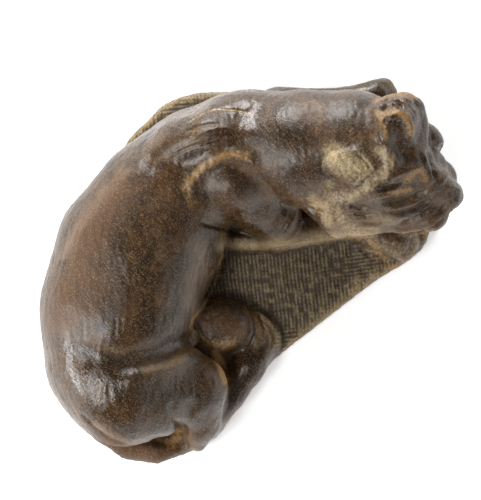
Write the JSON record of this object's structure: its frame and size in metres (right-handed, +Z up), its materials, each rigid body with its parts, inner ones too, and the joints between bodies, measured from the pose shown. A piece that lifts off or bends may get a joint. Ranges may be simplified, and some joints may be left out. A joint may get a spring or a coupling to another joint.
{
  "type": "marble lion sculpture",
  "caption": "Carved marble lion crouching in a curl on its own rough ground, head turned to its right, in dark waxed stone.",
  "frame": {"origin": "centre of the bounding box, on the flat underside", "axes": "+Z up; +X along the straight front edge of the ground, towards the head; -Y out of the hollow of the curl, over that edge"},
  "size_m": [0.2912, 0.1788, 0.1099],
  "materials": {
    "stone": "waxed"
  },
  "bodies": {
    "root": {"lion": "stone"}
  },
  "joints": []
}
